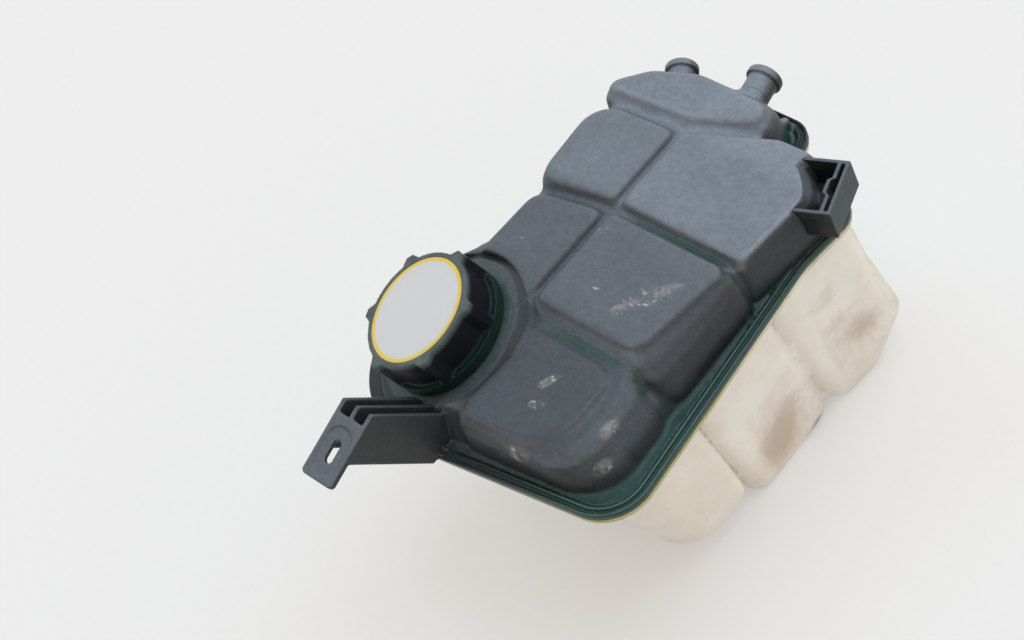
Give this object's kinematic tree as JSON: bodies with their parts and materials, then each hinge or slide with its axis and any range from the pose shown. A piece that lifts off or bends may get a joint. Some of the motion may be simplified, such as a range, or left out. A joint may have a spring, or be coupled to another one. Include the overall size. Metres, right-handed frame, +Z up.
{
  "type": "coolant expansion tank",
  "caption": "Ribbed plastic coolant expansion tank with a leaning screw cap and valve cartridge, hose spigots, a slotted mounting arm and a clip bracket.",
  "frame": {"origin": "on the flat underside of the middle cell, on which the tank stands, under the middle of the cells", "axes": "+Z up; +Y along the tank from the filler and mounting arm towards the hose spigots; +X across it towards the clip bracket"},
  "size_m": [0.1809, 0.299, 0.157],
  "materials": {
    "upper_plastic": "satin, lightly grained, scuffed",
    "lower_plastic": "cloudy natural plastic, stained",
    "cap_plastic": "semi-gloss black",
    "label_film": "smooth printed film",
    "housing_plastic": "moulded black",
    "seal_rubber": "smooth",
    "valve_metal": "turned",
    "spring_steel": "drawn wire"
  },
  "bodies": {
    "tank": {"upper_shell": "upper_plastic", "lower_shell": "lower_plastic"},
    "cartridge": {"valve_housing": "housing_plastic", "neck_seal": "seal_rubber", "spring_retainer": "housing_plastic", "pressure_spring": "spring_steel"},
    "cover": {"cap_cover": "cap_plastic", "cap_label": "label_film"},
    "pressure_valve": {"pressure_plate": "valve_metal", "plate_gasket": "seal_rubber", "vacuum_spring": "spring_steel"},
    "vacuum_valve": {"vacuum_valve": "valve_metal", "stem_clip": "spring_steel"}
  },
  "joints": [
    {"name": "cap_rise", "type": "slide", "parent": "tank", "child": "cartridge", "axis": [-0.2326, -0.2453, 0.9411], "range_m": [0, 0.008]},
    {"name": "cap_turn", "type": "hinge", "parent": "cartridge", "child": "cover", "pos_m": [-0.05823, -0.06685, 0.12841], "axis": [-0.2326, -0.2453, 0.9411], "range_deg": [0, 725]},
    {"name": "pressure_lift", "type": "slide", "parent": "cartridge", "child": "pressure_valve", "axis": [-0.2326, -0.2453, 0.9411], "range_m": [0, 0.003], "stiffness_N_per_m": 3000, "springref_m": -0.004, "deforming": ["pressure_spring"]},
    {"name": "vacuum_drop", "type": "slide", "parent": "pressure_valve", "child": "vacuum_valve", "axis": [0.2326, 0.2453, -0.9411], "range_m": [0, 0.0015], "stiffness_N_per_m": 300, "springref_m": -0.002, "deforming": ["vacuum_spring"]}
  ],
  "couplings": [
    {"joint": "cap_turn", "follows": "cap_rise", "rad_per_m": 1570.8}
  ]
}
